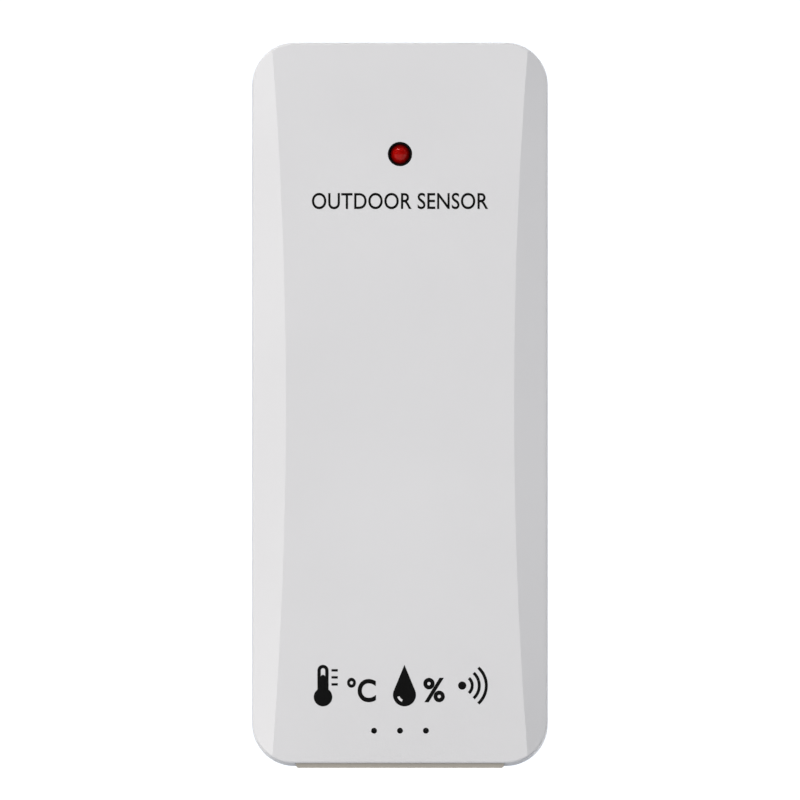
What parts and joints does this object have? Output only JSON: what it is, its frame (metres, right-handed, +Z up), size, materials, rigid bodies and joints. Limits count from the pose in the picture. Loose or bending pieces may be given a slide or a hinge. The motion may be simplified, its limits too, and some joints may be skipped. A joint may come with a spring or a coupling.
{
  "type": "wireless outdoor temperature and humidity sensor",
  "caption": "Small upright white wireless outdoor thermometer and humidity transmitter with a faceted front, a status light, a battery door, a hanging keyhole and a folding table stand.",
  "frame": {"origin": "under the middle of the case, on the surface that the folded stand rests on", "axes": "+Z up, the front with the status light faces -Y, +X to the right seen from the front"},
  "size_m": [0.04, 0.02, 0.0981],
  "materials": {
    "white_abs": "fine spark-eroded texture",
    "grey_abs": "fine spark-eroded texture",
    "zinc_steel": "zinc plated",
    "circuit_board": "green solder mask",
    "red_epoxy": "diffused red epoxy",
    "black_pvc": "extruded tube",
    "tinned_wire": "bright tin",
    "chip_epoxy": "moulded epoxy",
    "steel_can": "drawn and plated",
    "resistor_black": "glazed ceramic",
    "ceramic_tan": "fired ceramic",
    "capacitor_sleeve": "shrink sleeve",
    "copper_wire": "enamelled",
    "sensor_white": "moulded",
    "thermistor_epoxy": "dipped",
    "switch_black": "moulded",
    "button_red": "moulded",
    "cell_wrap": "printed film",
    "nickel_spring": "nickel plated",
    "nickel_plate": "nickel plated"
  },
  "bodies": {
    "case": {"front_cover": "white_abs", "back_case": "white_abs", "case_screws": "zinc_steel", "board_screws": "zinc_steel", "main_board": "circuit_board", "radio_board": "circuit_board", "status_led": "red_epoxy", "led_sleeve": "black_pvc", "led_leads": "tinned_wire", "capacitor_leads": "tinned_wire", "humidity_leads": "tinned_wire", "thermistor_leads": "tinned_wire", "radio_pins": "tinned_wire", "switch_pins": "tinned_wire", "controller_pins": "tinned_wire", "controller_chip": "chip_epoxy", "radio_chip": "chip_epoxy", "clock_crystal": "steel_can", "radio_crystal": "steel_can", "chip_resistors": "resistor_black", "chip_capacitors": "ceramic_tan", "smoothing_capacitor": "capacitor_sleeve", "antenna_coil": "copper_wire", "humidity_element": "switch_black", "thermistor": "thermistor_epoxy", "button_body": "switch_black", "channel_switch": "steel_can", "left_cell": "cell_wrap", "right_cell": "cell_wrap", "left_spring": "nickel_spring", "right_spring": "nickel_spring", "link_plate": "nickel_plate", "positive_plate": "nickel_plate", "negative_plate": "nickel_plate"},
    "door": {"battery_door": "white_abs"},
    "stand": {"table_stand": "grey_abs"},
    "button": {"button_cap": "button_red"},
    "slider": {"channel_slider": "switch_black"}
  },
  "joints": [
    {"name": "door_hinge", "type": "hinge", "parent": "case", "child": "door", "pos_m": [0, 0.009, 0.0139], "axis": [-1, 0, 0], "range_deg": [0, 90]},
    {"name": "stand_hinge", "type": "hinge", "parent": "case", "child": "stand", "pos_m": [0, 0.0076, 0.0015], "axis": [1, 0, 0], "range_deg": [0, 180]},
    {"name": "button_press", "type": "slide", "parent": "case", "child": "button", "axis": [0, -1, 0], "range_m": [0, 0.0004], "stiffness_N_per_m": 400, "springref_m": -0.001},
    {"name": "channel_slide", "type": "slide", "parent": "case", "child": "slider", "axis": [1, 0, 0], "range_m": [0, 0.004]}
  ]
}
